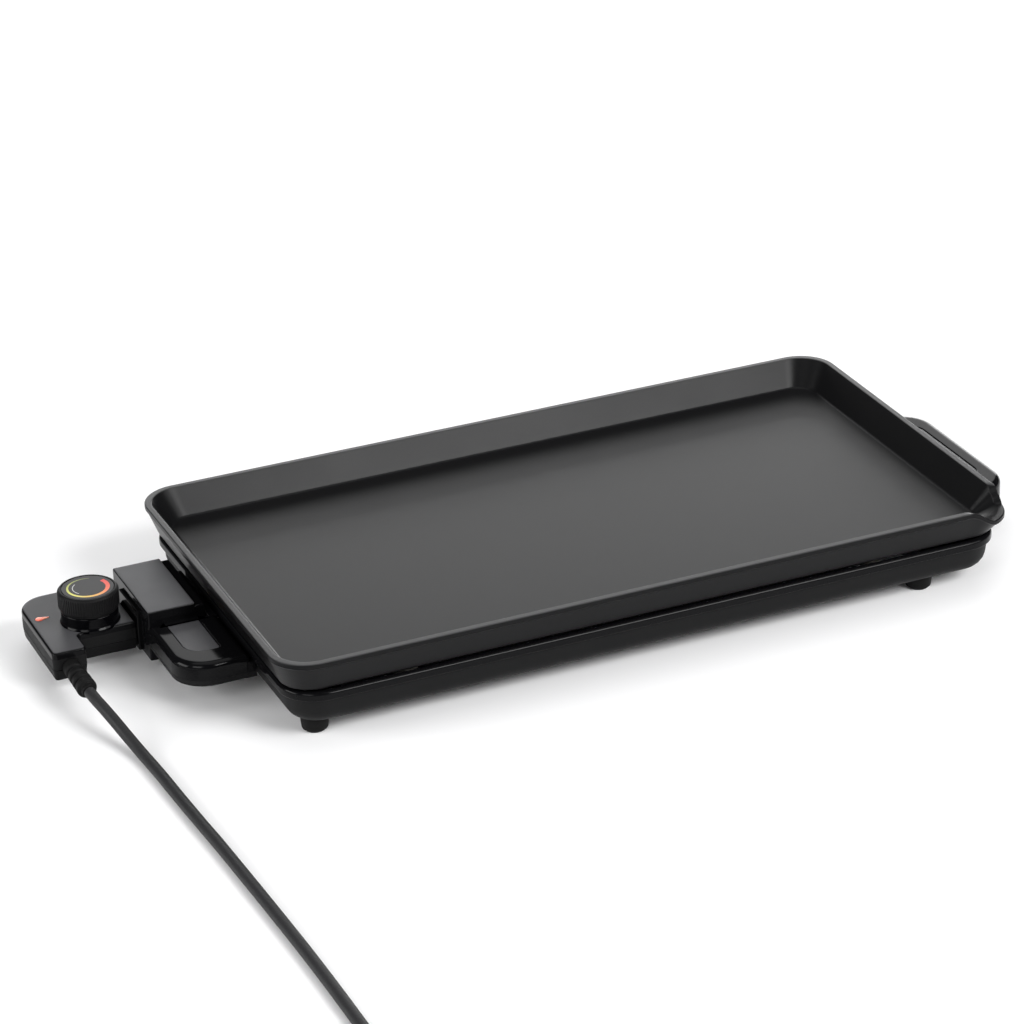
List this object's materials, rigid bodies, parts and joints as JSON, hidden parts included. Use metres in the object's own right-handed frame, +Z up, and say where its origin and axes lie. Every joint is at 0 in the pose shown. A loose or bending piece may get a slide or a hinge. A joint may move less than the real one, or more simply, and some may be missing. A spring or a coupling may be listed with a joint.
{
  "type": "electric griddle",
  "caption": "Table-top electric griddle with a coated rectangular cooking plate on a moulded base, side handles and a plug-in thermostat controller with knob and mains lead.",
  "frame": {"origin": "on the surface the feet stand on, under the middle of the griddle's box, the mains lead left out", "axes": "+X along the plate towards the plain handle, +Y to the back, +Z up"},
  "size_m": [0.64, 0.7672, 0.058],
  "materials": {
    "plate_coating": "satin non-stick coating on cast aluminium",
    "base_plastic": "satin moulded",
    "gloss_black": "polished",
    "satin_black": "fine spark texture",
    "matt_black": "matt",
    "steel": "satin",
    "element_steel": "annealed",
    "brass": "satin",
    "ceramic": "unglazed",
    "aluminium": "rolled sheet",
    "rubber": "matt",
    "cord_rubber": "matt sheath",
    "lamp_red": "clear tinted",
    "dial_print": "printed film"
  },
  "bodies": {
    "griddle": {"base_tray": "base_plastic", "cooking_plate": "plate_coating", "foot_1": "rubber", "foot_2": "rubber", "foot_3": "rubber", "foot_4": "rubber", "handle_screw_1": "steel", "handle_screw_2": "steel", "handle_screw_3": "steel", "handle_screw_4": "steel", "heat_reflector": "aluminium", "heating_element": "element_steel", "left_grip_inlay": "satin_black", "left_handle": "gloss_black", "left_handle_base": "matt_black", "plate_screw_1": "steel", "plate_screw_2": "steel", "plate_screw_3": "steel", "plate_screw_4": "steel", "plate_spacer_1": "ceramic", "plate_spacer_2": "ceramic", "plate_spacer_3": "ceramic", "plate_spacer_4": "ceramic", "probe_sleeve": "aluminium", "right_grip_inlay": "satin_black", "right_handle": "gloss_black", "right_handle_base": "matt_black", "socket_cover": "satin_black", "socket_floor": "matt_black", "socket_screw_1": "steel", "socket_screw_2": "steel", "terminal_block": "ceramic", "terminal_pin_1": "brass", "terminal_pin_2": "brass"},
    "controller": {"cable_clamp": "matt_black", "contact_arm": "brass", "contact_sleeve_1": "brass", "contact_sleeve_2": "brass", "controller_bottom": "gloss_black", "controller_screw_1": "steel", "controller_screw_2": "steel", "controller_top": "satin_black", "cord_coil": "cord_rubber", "cord_tail": "cord_rubber", "cord_tie": "matt_black", "earth_contact": "brass", "mains_cord": "cord_rubber", "pilot_lamp": "lamp_red", "pilot_lens": "lamp_red", "plug_body": "cord_rubber", "plug_pin_1": "steel", "plug_pin_2": "steel", "strain_relief": "rubber", "temperature_probe": "steel", "thermostat_frame": "steel"},
    "knob": {"knob": "matt_black", "knob_dial": "dial_print", "knob_shaft": "steel", "thermostat_cam": "ceramic"}
  },
  "joints": [
    {"name": "controller_slide", "type": "slide", "parent": "griddle", "child": "controller", "axis": [-1, 0, 0], "range_m": [0, 0.09]},
    {"name": "knob_turn", "type": "hinge", "parent": "controller", "child": "knob", "pos_m": [-0.2843, 0.035, 0.045], "axis": [0, 0, 1], "range_deg": [-206, 114]}
  ]
}
